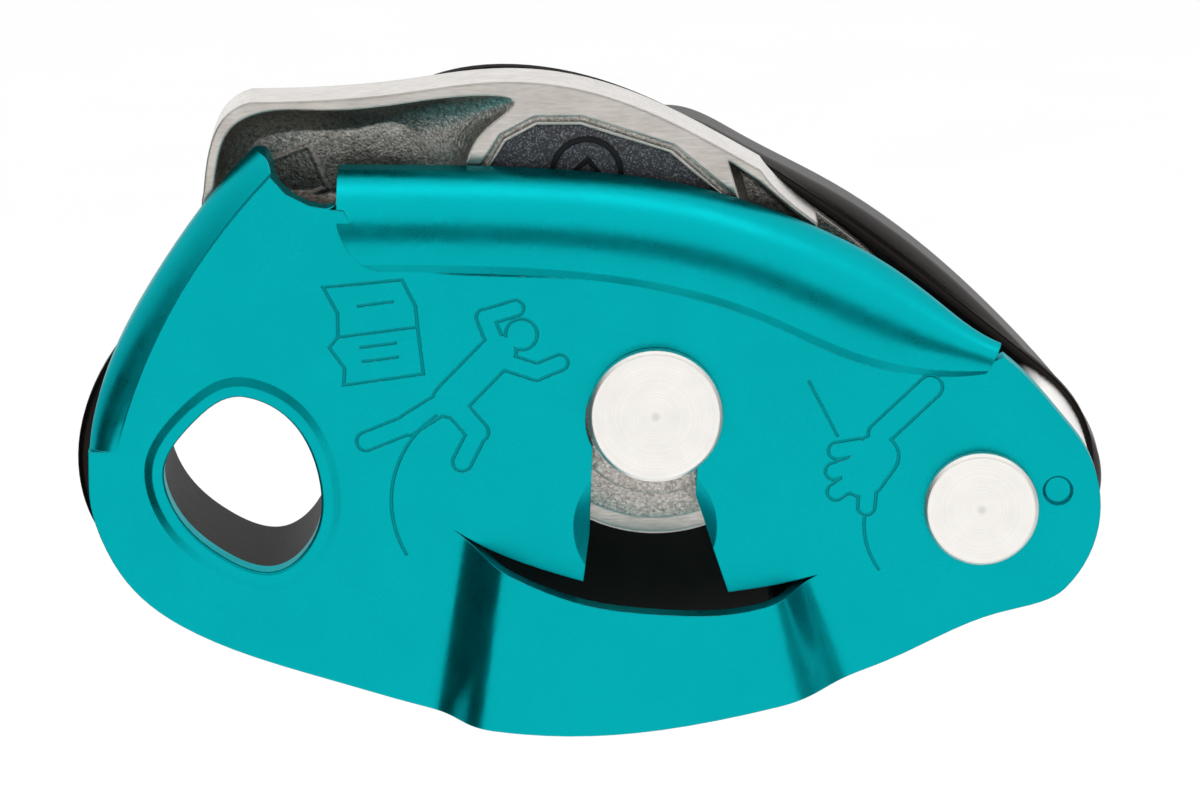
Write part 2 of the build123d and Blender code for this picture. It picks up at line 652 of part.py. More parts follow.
def spool_section():
    """Half section of the spool: x is the radius, y the depth."""
    with BuildSketch() as section:
        with BuildLine():
            Polyline((5.0, CAM_FRONT), (9.2, CAM_FRONT), (9.4, CAM_FRONT + 0.3),
                     (9.4, CAM_FRONT + 2.6), (8.4, CAM_FRONT + 3.4))
            ThreePointArc((8.4, CAM_FRONT + 3.4), (9.6, -8.6), (14.6, -4.6))
            Polyline((14.6, -4.6), (16.4, -4.6), (16.4, CAM_BACK), (5.0, CAM_BACK),
                     (5.0, CAM_FRONT))
        make_face()
    return section.sketch


with BuildPart() as scoop:
    for depth, points in SCOOP.items():
        with BuildSketch(front(CAST_FRONT + depth)):
            add(smooth_outline(points))
    loft()

with BuildPart() as cam:
    with BuildSketch(Plane(origin=(AXLE_X, 0, AXLE_Z), x_dir=(1, 0, 0), z_dir=(0, 0, 1))):
        add(spool_section())
    revolve(axis=Axis((AXLE_X, 0, AXLE_Z), (0, 1, 0)))
    with BuildSketch(front(-4.4)):
        add(lobe_outline())
    extrude(amount=-CAM_FRONT - 4.4 - 2.6)
    with BuildSketch(front(CAM_BACK)):
        add(casting_outline())
    extrude(amount=CAM_BACK - CAST_FRONT)
    # the tail behind the lip is only a thin rim
    with BuildSketch(front(-3.4)):
        with BuildLine():
            Polyline((60.0, 34.0), (60.0, 24.6), (55.0, 20.5), (54.0, 12.0), (74.0, 12.0),
                     (74.0, 34.0), close=True)
        make_face()
    extrude(amount=10, mode=Mode.SUBTRACT)
    # keep the thumb rest's underside clear of the rope
    with BuildSketch(front(-4.0)):
        with BuildLine():
            Polyline((-8.0, 22.0), (-8.0, 25.6), (6.0, 24.4), (24.0, 21.6), (28.0, 23.0),
                     (54.0, 23.0), (54.0, 16.0), (40.0, 14.0), (20.0, 14.0), close=True)
        make_face()
        add(ring(AXLE_X, AXLE_Z, 9.4, 0), mode=Mode.SUBTRACT)
    extrude(amount=6, mode=Mode.SUBTRACT)
    add(scoop.part, mode=Mode.SUBTRACT)
    # raised square mark on the scoop's floor
    with BuildSketch(front(CAST_FRONT + 4.7)):
        with Locations((5.2, 30.6)):
            Rectangle(5.4, 5.4, rotation=22)
            Rectangle(4.5, 4.5, rotation=22, mode=Mode.SUBTRACT)
    extrude(amount=0.7)
    with BuildSketch(front(CAST_FRONT)):
        add(side_pocket_outline())
    extrude(amount=-3.6, taper=12, mode=Mode.SUBTRACT)
    with BuildSketch(front(CAST_FRONT)):
        add(pocket_outline(0.9))
        add(pocket_outline(0.3), mode=Mode.SUBTRACT)
    extrude(amount=-0.5, mode=Mode.SUBTRACT)
    with BuildSketch(front(CAST_FRONT)):
        add(pocket_outline(0))
    extrude(amount=-1.4, mode=Mode.SUBTRACT)
    # axle bore, spring recess and drive pin hole
    with BuildSketch(front(CAM_BACK)):
        add(ring(AXLE_X, AXLE_Z, AXLE_R + FIT + BUSH_WALL, 0))
    extrude(amount=20, mode=Mode.SUBTRACT)
    with BuildSketch(front(CAM_BACK)):
        add(ring(AXLE_X, AXLE_Z, 9.0, 6.5))
    extrude(amount=5.0, mode=Mode.SUBTRACT)
    with BuildSketch(front(CAM_BACK)):
        add(ring(*axle_polar(DRIVE_R, DRIVE_ANGLE), DRIVE_PIN_R, 0))
    extrude(amount=3.0, mode=Mode.SUBTRACT)

with BuildPart() as cam_bushing:
    with BuildSketch(front(CAM_BACK)):
        add(ring(AXLE_X, AXLE_Z, AXLE_R + FIT + BUSH_WALL, AXLE_R + FIT))
    extrude(amount=CAM_BACK - CAM_FRONT)

EMBLEM = (35.8, 31.6)

with BuildPart() as cam_insert_panel:
    with BuildSketch(front(CAST_FRONT + 1.4)):
        add(pocket_outline(-0.1))
    extrude(amount=0.9)
    # raised ring and lozenge emblem
    with BuildSketch(front(CAST_FRONT + 0.5)):
        add(ring(*EMBLEM, 3.9, 3.3))
        with Locations(EMBLEM):
            Rectangle(2.6, 2.6, rotation=40)
            Rectangle(1.6, 1.6, rotation=40, mode=Mode.SUBTRACT)
    extrude(amount=0.25)

DRIVE_AT = axle_polar(DRIVE_R, DRIVE_ANGLE)
GROOVE_BACK = CORE_FRONT + 3.0   # bottom of the drive groove in the handle's hub

with BuildPart() as cam_drive_pin:
    with BuildSketch(front(GROOVE_BACK - GAP)):
        add(ring(*DRIVE_AT, DRIVE_PIN_R, 0))
    extrude(amount=GROOVE_BACK - GAP - (CAM_BACK - 3.0))
    chamfer(faces().sort_by(Axis.Y)[-1].edges(), 0.3)

# ---- cam return spring: a coil about the axle with a leg into the fixed plate -----------
COIL_TURNS = 3
COIL_PITCH = 1.15
COIL_BACK = CAM_BACK - 0.6

with BuildPart() as cam_return_spring:
    with BuildLine():
        coil = Helix(pitch=COIL_PITCH, height=COIL_PITCH * COIL_TURNS, radius=COIL_R,
                     center=(AXLE_X, COIL_BACK, AXLE_Z), direction=(0, -1, 0))
    with BuildSketch(Plane(origin=coil @ 0, z_dir=coil % 0)):
        Circle(WIRE_R)
    sweep(is_frenet=True)
    leg = coil @ 0
    with BuildSketch(front(BACK_PLATE - 0.5)):
        add(ring(leg.X, leg.Z, WIRE_R, 0))
    extrude(amount=BACK_PLATE - 0.5 - COIL_BACK)

# ---- handle ---------------------------------------------------------------------------
HUB_R = 14.0
HANDLE_EDGE = [(32.0, 22.4), (38.0, 33.0), (45.0, 35.2), (52.0, 32.2), (61.4, 27.2), (71.3, 20.4),
               (80.0, 12.4), (87.0, 4.6), (90.8, -2.4), (89.6, -8.4), (85.6, -9.4), (81.0, -5.6),
               (73.0, 1.6), (64.0, 5.0), (57.6, 2.0), (51.0, -4.4), (42.0, -6.6), (32.0, -2.6),
               (28.0, 6.0), (28.6, 14.0)]
CORE_EDGE = [(30.6, 14.0), (36.0, 21.0), (46.0, 24.4), (58.0, 22.0), (68.0, 16.4), (76.0, 9.4),
             (80.6, 3.0), (78.6, -0.6), (72.4, 3.0), (64.4, 7.0), (57.6, 5.0), (50.0, -3.0),
             (42.0, -5.2), (33.4, -1.8), (30.0, 6.0)]
HANDLE_SCREWS = [(62.0, 14.6), (74.4, 7.2)]
CORE_ARM_FRONT = CORE_FRONT + 1.2
SLEEVE_WALL = 1.2


with BuildPart() as handle_core:
    with BuildSketch(front(CORE_BACK)):
        add(smooth_outline(CORE_EDGE))
    extrude(amount=CORE_BACK - CORE_ARM_FRONT)
    with BuildSketch(front(CORE_ARM_FRONT)):
        add(ring(AXLE_X, AXLE_Z, DRIVE_R + 3.4, 0))
    extrude(amount=CORE_ARM_FRONT - CORE_FRONT)
    with BuildSketch(front(CORE_BACK)):
        add(ring(AXLE_X, AXLE_Z, AXLE_R + FIT + SLEEVE_WALL, 0))
        for x, z in HANDLE_SCREWS:
            add(ring(x, z, 1.6, 0))
    extrude(amount=CORE_BACK, mode=Mode.SUBTRACT)
    # groove that the cam's drive pin runs in
    with BuildSketch(front(GROOVE_BACK)):
        add(arc_slot(AXLE_X, AXLE_Z, DRIVE_R, DRIVE_PIN_R + GAP,
                     DRIVE_ANGLE - CAM_SWING - HANDLE_SWING - 3, DRIVE_ANGLE + 3))
    extrude(amount=GROOVE_BACK - CORE_FRONT + 1, mode=Mode.SUBTRACT)
    # seats for the screw heads
    with BuildSketch(front(CORE_ARM_FRONT + 0.9)):
        for x, z in HANDLE_SCREWS:
            add(ring(x, z, 2.7, 0))
    extrude(amount=1.0, mode=Mode.SUBTRACT)

with BuildPart() as handle_sleeve:
    with BuildSketch(front(CORE_BACK)):
        add(ring(AXLE_X, AXLE_Z, AXLE_R + FIT + SLEEVE_WALL, AXLE_R + FIT))
    extrude(amount=CORE_BACK - CORE_FRONT)

CAP_R = 8.4
RECESS_FRONT = CORE_BACK

with BuildPart() as handle_grip:
    with BuildSketch(front(GRIP_BACK)):
        add(smooth_outline(HANDLE_EDGE))
    extrude(amount=GRIP_BACK - CORE_ARM_FRONT)
    fillet(faces().sort_by(Axis.Y)[-1].edges(), 2.4)
    fillet(faces().sort_by(Axis.Y)[0].edges(), 1.2)
    # the core sits in a pocket open to the front
    with BuildSketch(front(CORE_BACK)):
        add(smooth_outline(CORE_EDGE))
    extrude(amount=CORE_BACK, mode=Mode.SUBTRACT)
    with BuildSketch(front(CORE_ARM_FRONT)):
        add(ring(AXLE_X, AXLE_Z, DRIVE_R + 3.8, 0))
    extrude(amount=1.0, mode=Mode.SUBTRACT)
    # recess for the axle's rear end and the cap
    with BuildSketch(front(GRIP_BACK)):
        add(ring(AXLE_X, AXLE_Z, CAP_R, 0))
    extrude(amount=GRIP_BACK - RECESS_FRONT, mode=Mode.SUBTRACT)
    with BuildSketch(front(CORE_BACK + 3.4)):
        for x, z in HANDLE_SCREWS:
            add(ring(x, z, 1.5, 0))
    extrude(amount=3.4, mode=Mode.SUBTRACT)

with BuildPart() as handle_hub_cap:
    with BuildSketch(front(GRIP_BACK - 0.2)):
        add(ring(AXLE_X, AXLE_Z, CAP_R, 0))
    extrude(amount=1.8)
    fillet(faces().sort_by(Axis.Y)[-1].edges(), 0.6)

with BuildPart() as handle_screws:
    for x, z in HANDLE_SCREWS:
        with BuildSketch(front(CORE_BACK + 3.2)):
            add(ring(x, z, 1.5, 0))
        extrude(amount=CORE_BACK + 3.2 - CORE_ARM_FRONT - 0.9)
        with BuildSketch(front(CORE_ARM_FRONT + 0.9)):
            add(ring(x, z, 2.6, 0))
        extrude(amount=0.8)

with BuildPart() as handle_wave_washer:
    with BuildSketch(front(WASHER_BACK - 1.05)):
        add(ring(AXLE_X, AXLE_Z, 6.6, AXLE_R + FIT))
    extrude(amount=0.6)

# ---- one file for each piece ------------------------------------------------------------
PIECES = {
    "fixed_side_plate": fixed_side_plate,
    "attachment_collar": attachment_collar,
    "friction_plate": friction_plate,
    "friction_plate_rivets": friction_plate_rivets,
    "main_axle": main_axle,
    "pivot_rivet": pivot_rivet,
    "pivot_spring_washer": pivot_spring_washer,
    "cam_return_spring": cam_return_spring,
    "cam": cam,
    "cam_bushing": cam_bushing,
    "cam_insert_panel": cam_insert_panel,
    "cam_drive_pin": cam_drive_pin,
    "handle_core": handle_core,
    "handle_sleeve": handle_sleeve,
    "handle_grip": handle_grip,
    "handle_hub_cap": handle_hub_cap,
    "handle_screws": handle_screws,
    "handle_wave_washer": handle_wave_washer,
    "axle_rear_washer": axle_rear_washer,
    "moving_side_plate": moving_side_plate,
    "pivot_bush": pivot_bush,
}

for name, piece in PIECES.items():
    piece.part.label = name
    export_step(piece.part, f"parts/{name}.step")
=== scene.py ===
"""Looks for the belay device: procedural materials, studio light, floor and camera (metres)."""
import math

import bpy
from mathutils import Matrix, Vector


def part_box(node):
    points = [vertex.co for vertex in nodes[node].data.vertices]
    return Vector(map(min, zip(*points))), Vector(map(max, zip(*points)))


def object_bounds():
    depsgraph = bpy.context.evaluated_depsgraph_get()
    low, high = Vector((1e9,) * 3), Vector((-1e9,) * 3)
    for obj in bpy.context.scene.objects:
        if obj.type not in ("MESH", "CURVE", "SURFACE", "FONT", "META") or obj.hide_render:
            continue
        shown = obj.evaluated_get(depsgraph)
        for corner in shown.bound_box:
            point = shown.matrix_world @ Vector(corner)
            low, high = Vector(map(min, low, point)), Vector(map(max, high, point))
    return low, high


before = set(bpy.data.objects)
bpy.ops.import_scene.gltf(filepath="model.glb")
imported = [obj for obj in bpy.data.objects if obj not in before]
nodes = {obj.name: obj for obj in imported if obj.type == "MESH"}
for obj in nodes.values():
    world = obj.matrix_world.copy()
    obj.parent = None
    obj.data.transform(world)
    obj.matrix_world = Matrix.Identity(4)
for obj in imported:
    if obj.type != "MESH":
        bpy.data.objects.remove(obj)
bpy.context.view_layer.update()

MM = 0.001


# ---- small helpers ------------------------------------------------------------------
def linear(red, green, blue):
    """Linear RGBA colour of an 8-bit sRGB colour."""
    def channel(value):
        value /= 255
        return value / 12.92 if value <= 0.04045 else ((value + 0.055) / 1.055) ** 2.4
    return (channel(red), channel(green), channel(blue), 1.0)


class Finish:
    """One procedural material and the nodes it is made of."""

    def __init__(self, name, metallic, roughness, **uniform):
        self.material = bpy.data.materials.new(name)
        self.material.use_nodes = True
        self.tree = self.material.node_tree
        self.tree.nodes.clear()
        self.shader = self.tree.nodes.new("ShaderNodeBsdfPrincipled")
        output = self.tree.nodes.new("ShaderNodeOutputMaterial")
        self.link(self.shader.outputs["BSDF"], output.inputs["Surface"])
        self.shader.inputs["Metallic"].default_value = metallic
        self.shader.inputs["Roughness"].default_value = roughness
        for socket, value in uniform.items():
            self.shader.inputs[socket.replace("_", " ")].default_value = value
        self.place = self.add("ShaderNodeTexCoord").outputs["Object"]
        geometry = self.add("ShaderNodeNewGeometry")
        self.normal = geometry.outputs["Normal"]

    def add(self, kind, **settings):
        made = self.tree.nodes.new(kind)
        for key, value in settings.items():
            setattr(made, key, value)
        return made

    def link(self, source, target):
        self.tree.links.new(source, target)

    def put(self, socket, value):
        """Sets a socket to a number or colour, or links another node's output to it."""
        if isinstance(value, bpy.types.NodeSocket):
            self.link(value, socket)
        else:
            socket.default_value = value

    def math(self, operation, first, second=0.0):
        made = self.add("ShaderNodeMath", operation=operation)
        self.put(made.inputs[0], first)
        self.put(made.inputs[1], second)
        return made.outputs[0]

    def vector_math(self, operation, first, second=(0, 0, 0)):
        made = self.add("ShaderNodeVectorMath", operation=operation)
        self.put(made.inputs[0], first)
        self.put(made.inputs[1], second)
        return made.outputs["Value" if operation in ("DOT_PRODUCT", "LENGTH") else "Vector"]

    def stretched(self, scale):
        """The place on the object, scaled along each axis."""
        return self.vector_math("MULTIPLY", self.place, scale)

    def noise(self, size, detail=2.0, place=None, roughness=0.5):
        """Noise whose grains are about size millimetres across."""
        made = self.add("ShaderNodeTexNoise")
        self.put(made.inputs["Vector"], self.place if place is None else place)
        made.inputs["Scale"].default_value = 1 / (size * MM)
        made.inputs["Detail"].default_value = detail
        made.inputs["Roughness"].default_value = roughness
        return made.outputs[0]

    def cells(self, size, output="Distance"):
        """Cells about size millimetres across."""
        made = self.add("ShaderNodeTexVoronoi")
        self.put(made.inputs["Vector"], self.place)
        made.inputs["Scale"].default_value = 1 / (size * MM)
        return made.outputs[output]

    def ramp(self, factor, low, high, at=(0.0, 1.0)):
        """A value that goes from low to high as the factor passes the two positions."""
        made = self.add("ShaderNodeMapRange")
        self.put(made.inputs["Value"], factor)
        made.inputs["From Min"].default_value = at[0]
        made.inputs["From Max"].default_value = at[1]
        made.inputs["To Min"].default_value = low
        made.inputs["To Max"].default_value = high
        return made.outputs["Result"]

    def mix(self, factor, first, second):
        made = self.add("ShaderNodeMix", data_type="RGBA")
        self.put(made.inputs["Factor"], factor)
        self.put(made.inputs[6], first)
        self.put(made.inputs[7], second)
        return made.outputs[2]

    def mix_value(self, factor, first, second):
        made = self.add("ShaderNodeMix", data_type="FLOAT")
        self.put(made.inputs[0], factor)
        self.put(made.inputs[2], first)
        self.put(made.inputs[3], second)
        return made.outputs[0]

    def rounded(self, radius):
        """Normal with every sharp edge rounded off to a radius in millimetres."""
        made = self.add("ShaderNodeBevel", samples=6)
        made.inputs["Radius"].default_value = radius * MM
        return made.outputs["Normal"]

    def edges(self, rounded_normal):
        """1 on the sharp edges, 0 on the faces between them."""
        facing = self.vector_math("DOT_PRODUCT", rounded_normal, self.normal)
        return self.ramp(facing, 1.0, 0.0, at=(0.72, 0.92))

    def axis(self, name, source=None):
        """One axis of the place on the object, or of another vector."""
        made = self.add("ShaderNodeSeparateXYZ")
        self.link(self.place if source is None else source, made.inputs[0])
        return made.outputs[name]

    def level(self, depth, slack):
        """1 on flat faces at a depth, with a slack in millimetres, that face along Y."""
        away = self.math("ABSOLUTE", self.math("SUBTRACT", self.axis("Y"), depth))
        near = self.ramp(away, 1.0, 0.0, at=(slack * MM, 1.4 * slack * MM))
        facing = self.math("ABSOLUTE", self.axis("Y", self.normal))
        return self.math("MULTIPLY", near, self.ramp(facing, 0.0, 1.0, at=(0.985, 0.999)))

    def sides(self):
        """1 on walls that run along Y."""
        facing = self.math("ABSOLUTE", self.axis("Y", self.normal))
        return self.ramp(facing, 1.0, 0.0, at=(0.02, 0.06))

    def bump(self, height, strength, depth, below=None):
        """Bump of a depth in millimetres, on top of another normal."""
        made = self.add("ShaderNodeBump")
        made.inputs["Strength"].default_value = strength
        made.inputs["Distance"].default_value = depth * MM
        self.put(made.inputs["Height"], height)
        if below is not None:
            self.put(made.inputs["Normal"], below)
        return made.outputs["Normal"]

    def finish(self, colour=None, roughness=None, normal=None):
        for socket, value in (("Base Color", colour), ("Roughness", roughness),
                              ("Normal", normal)):
            if value is not None:
                self.put(self.shader.inputs[socket], value)
        return self.material


# ---- finishes -----------------------------------------------------------------------
def anodised(name, colour, deep, worn, roughness, grazing, engraved=None):
    """Satin anodised aluminium: fine etched grain, uneven dye, brighter worn edges.

    The grazing colour tints reflections at a shallow angle.  A flat face at the engraved
    depth is the floor of an engraved line and gets painted shade.
    """
    f = Finish(name, 1.0, roughness, Coat_Weight=0.03, Coat_Roughness=0.2,
               Specular_Tint=grazing)
    rounded = f.rounded(0.15)
    edge = f.edges(rounded)
    dye = f.ramp(f.noise(9.0, 3.0), 0.0, 0.35, at=(0.35, 0.75))
    grain = f.noise(0.09, 3.0, roughness=0.7)
    base = f.mix(dye, colour, deep)
    chips = f.math("MULTIPLY", edge, f.ramp(f.noise(0.5, 4.0), 0.0, 1.0, at=(0.45, 0.65)))
    base = f.mix(f.math("MULTIPLY", chips, 0.35), base, worn)
    # painted shade on the floors of the engraved lines
    if engraved is not None:
        base = f.mix(f.math("MULTIPLY", f.level(engraved, 0.05), 0.45), base,
                     tuple(c * 0.3 for c in deep[:3]) + (1.0,))
    rough = f.math("ADD", f.ramp(f.noise(3.0, 5.0, roughness=0.65), -0.04, 0.05, at=(0.3, 0.7)),
                   f.ramp(grain, roughness - 0.03, roughness + 0.03, at=(0.3, 0.7)))
    return f.finish(base, rough, f.bump(grain, 0.25, 0.01, rounded))


def turned(name, colour, centre):
    """Lathe-turned face: concentric tool marks about the axis and a small centre mark."""
    f = Finish(name, 1.0, 0.3, Anisotropic=0.6)
    rounded = f.rounded(0.25)
    arm = f.vector_math("SUBTRACT", f.place, centre)
    arm = f.vector_math("MULTIPLY", arm, (1, 0, 1))
    radius = f.vector_math("LENGTH", arm)
    rings = f.add("ShaderNodeTexNoise", noise_dimensions="1D")
    rings.inputs["Scale"].default_value = 1 / (0.16 * MM)
    rings.inputs["Detail"].default_value = 3.0
    rings.inputs["Roughness"].default_value = 0.5
    f.link(radius, rings.inputs["W"])
    marks = rings.outputs[0]
    round_tangent = f.vector_math("NORMALIZE", f.vector_math("CROSS_PRODUCT", arm, (0, 1, 0)))
    f.put(f.shader.inputs["Tangent"], round_tangent)
    shade = f.mix(f.ramp(marks, 0.0, 1.0, at=(0.3, 0.7)), colour,
                  tuple(c * 0.93 for c in colour[:3]) + (1.0,))
    cloud = f.ramp(f.noise(2.5, 4.0), 0.0, 0.3, at=(0.4, 0.75))
    shade = f.mix(cloud, shade, tuple(c * 0.8 for c in colour[:3]) + (1.0,))
    pip = f.ramp(radius, 1.0, 0.0, at=(0.25 * MM, 0.6 * MM))
    shade = f.mix(f.math("MULTIPLY", pip, 0.2), shade, linear(120, 118, 114))
    rough = f.ramp(marks, 0.28, 0.38, at=(0.3, 0.7))
    return f.finish(shade, rough, f.bump(marks, 0.3, 0.02, rounded))


def cast(name, colour, dark, painted_shade, face, recess, lit_above, hub=None):
    """Bead-blasted casting: polished face and sides, painted shade towards the recess depth.

    Painted shade also darkens it below the lit height.  The hub, if there is one, is (x, z,
    radius, depth) of a round polished rim that gets no painted shade.
    """
    f = Finish(name, 1.0, 0.3)
    rounded = f.rounded(0.45)
    polish = f.math("MAXIMUM", f.level(face, 0.25), f.sides())
    # strength of the painted shade on the blasted faces
    shade_strength = 0.62
    if hub is not None:
        x, z, reach, depth = hub
        arm = f.vector_math("MULTIPLY", f.vector_math("SUBTRACT", f.place, (x, 0, z)), (1, 0, 1))
        inside = f.ramp(f.vector_math("LENGTH", arm), 1.0, 0.0, at=(reach, reach + MM))
        polish = f.math("MAXIMUM", polish, f.math("MULTIPLY", inside, f.level(depth, 0.25)))
        shade_strength = f.ramp(inside, shade_strength, 0.0)
    grains = f.cells(0.3)
    coarse = f.noise(0.45, 4.0, roughness=0.7)
    patches = f.noise(3.2, 3.0)
    fine = f.noise(0.12, 2.0)
    sparkle = f.ramp(f.cells(0.2, "Color"), 0.0, 1.0, at=(0.6, 0.95))
    blasted = f.mix(f.ramp(coarse, 0.0, 1.0, at=(0.35, 0.68)), colour, dark)
    blasted = f.mix(f.math("MULTIPLY", sparkle, 0.5), blasted, linear(250, 247, 240))
    waver = f.math("MULTIPLY", f.math("SUBTRACT", patches, 0.5), 5.0 * MM)
    speckle = f.math("MULTIPLY", f.math("SUBTRACT", coarse, 0.5), 3.0 * MM)
    # painted shade: blasted faces go darker towards the recess depth and below the lit height
    below_lit = f.math("MULTIPLY", f.math("SUBTRACT", lit_above, f.axis("Z")), 0.5)
    recess_shade = f.math("ADD", f.math("ADD", f.axis("Y"), below_lit), f.math("ADD", waver, speckle))
    recess_shade = f.ramp(recess_shade, 0.0, 1.0, at=(face + 2.4 * MM, recess + MM))
    blasted = f.mix(f.math("MULTIPLY", recess_shade, shade_strength), blasted, painted_shade)
    brushed = f.noise(0.2, 3.0, place=f.stretched((0.12, 1.0, 1.0)))
    smooth = f.mix(f.ramp(brushed, 0.0, 0.25, at=(0.3, 0.7)), colour, dark)
    smooth = f.mix(f.ramp(patches, 0.0, 0.25, at=(0.4, 0.75)), smooth, dark)
    base = f.mix(polish, blasted, smooth)
    rough = f.mix_value(polish, f.ramp(fine, 0.28, 0.48, at=(0.3, 0.7)),
                        f.ramp(brushed, 0.14, 0.24, at=(0.3, 0.7)))
    pits = f.math("ADD", f.math("MULTIPLY", grains, 0.7), coarse)
    blast_bump = f.bump(pits, 0.6, 0.09, rounded)
    polish_bump = f.bump(brushed, 0.1, 0.01, rounded)
    turn = f.add("ShaderNodeMix", data_type="VECTOR")
    f.link(polish, turn.inputs[0])
    f.link(blast_bump, turn.inputs[4])
    f.link(polish_bump, turn.inputs[5])
    return f.finish(base, rough, turn.outputs[1])


def brushed_metal(name, colour, dark, roughness, stretch):
    """Polished steel with fine drawn lines along the axis with the smallest stretch."""
    f = Finish(name, 1.0, roughness)
    rounded = f.rounded(0.3)
    lines = f.noise(0.12, 4.0, place=f.stretched(stretch), roughness=0.6)
    cloud = f.noise(3.0, 3.0)
    base = f.mix(f.ramp(lines, 0.0, 0.5, at=(0.3, 0.7)), colour, dark)
    base = f.mix(f.ramp(cloud, 0.0, 0.25, at=(0.4, 0.7)), base, dark)
    rough = f.ramp(lines, roughness - 0.05, roughness + 0.1, at=(0.3, 0.7))
    return f.finish(base, rough, f.bump(lines, 0.2, 0.01, rounded))


def steel_with_painted_shadow(name, colour, black, bright_from):
    """Steel guide, polished beyond a distance along X; before it, painted shadow makes it black.
    """
    f = Finish(name, 1.0, 0.2)
    rounded = f.rounded(0.3)
    bright = f.ramp(f.axis("X"), 0.0, 1.0, at=(bright_from - MM, bright_from + MM))
    lines = f.noise(0.12, 4.0, place=f.stretched((1, 0.1, 1)), roughness=0.6)
    steel = f.mix(f.ramp(lines, 0.0, 0.5, at=(0.3, 0.7)), colour,
                  tuple(c * 0.6 for c in colour[:3]) + (1.0,))
    # painted shadow: black where the guide lies in shade inside the device
    base = f.mix(bright, black, steel)
    rough = f.mix_value(bright, 0.5, f.ramp(lines, 0.15, 0.3, at=(0.3, 0.7)))
    return f.finish(base, rough, f.bump(lines, 0.2, 0.01, rounded))


def glitter(name, colour, flake, raised):
    """Dark panel with fine metal flakes; black in front of the raised depth."""
    f = Finish(name, 0.6, 0.35)
    rounded = f.rounded(0.2)
    cell = f.cells(0.16, "Color")
    bright = f.ramp(cell, 0.0, 1.0, at=(0.55, 0.95))
    base = f.mix(f.math("MULTIPLY", bright, 0.7), colour, flake)
    emblem = f.ramp(f.axis("Y"), 1.0, 0.0, at=(raised, raised + 0.05 * MM))
    base = f.mix(emblem, base, linear(16, 16, 18))
    grain = f.noise(0.2, 3.0)
    return f.finish(base, f.ramp(grain, 0.28, 0.5, at=(0.3, 0.7)),
                    f.bump(grain, 0.5, 0.05, rounded))


def moulded(name, colour, pale, grain_size, ior=1.5):
    """Moulded nylon: pebbled grain, paler rubbed edges, faint cloudiness."""
    f = Finish(name, 0.0, 0.45, IOR=ior)
    rounded = f.rounded(0.4)
    edge = f.edges(rounded)
    pebble = f.cells(grain_size)
    fine = f.noise(0.1, 3.0)
    cloud = f.ramp(f.noise(6.0, 4.0), 0.0, 0.12, at=(0.35, 0.7))
    base = f.mix(cloud, colour, pale)
    base = f.mix(f.math("MULTIPLY", edge, 0.6), base, pale)
    rough = f.ramp(fine, 0.4, 0.58, at=(0.3, 0.7))
    height = f.math("ADD", f.math("MULTIPLY", pebble, 0.6), f.math("MULTIPLY", fine, 0.4))
    return f.finish(base, rough, f.bump(height, 0.4, 0.04, rounded))


def centre_of(node):
    """Middle of a node's box."""
    low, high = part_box(node)
    return (low + high) / 2


TEAL = linear(0, 171, 178)
TEAL_DEEP = linear(0, 163, 170)
TEAL_WORN = linear(150, 222, 226)
STEEL = linear(250, 247, 242)
STEEL_DARK = linear(150, 145, 138)
BRONZE, BRONZE_DARK = linear(180, 140, 80), linear(130, 95, 50)
WASHER, WASHER_DARK = linear(150, 148, 145), linear(110, 108, 105)
ALLOY, ALLOY_DARK = linear(120, 118, 116), linear(80, 78, 76)
NYLON, NYLON_PALE = linear(34, 30, 28), linear(74, 68, 64)
EVEN = (1, 1, 1)                 # no direction in the drawn lines
ENGRAVED = 0.15 * MM             # depth of the plate's engraved lines
EMBLEM_RISE = 0.25 * MM          # from the casting's face to the front of the panel's emblem
SCOOP_DEPTH = 4.6 * MM
SCOOP_LIT = 32.0 * MM            # height below which painted shade darkens the scoop
HUB_REACH, HUB_RIM = 17 * MM, -4.6 * MM
panel_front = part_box("cam_insert_panel")[0].y
core_low, core_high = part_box("handle_core")
axle_centre = centre_of("main_axle")

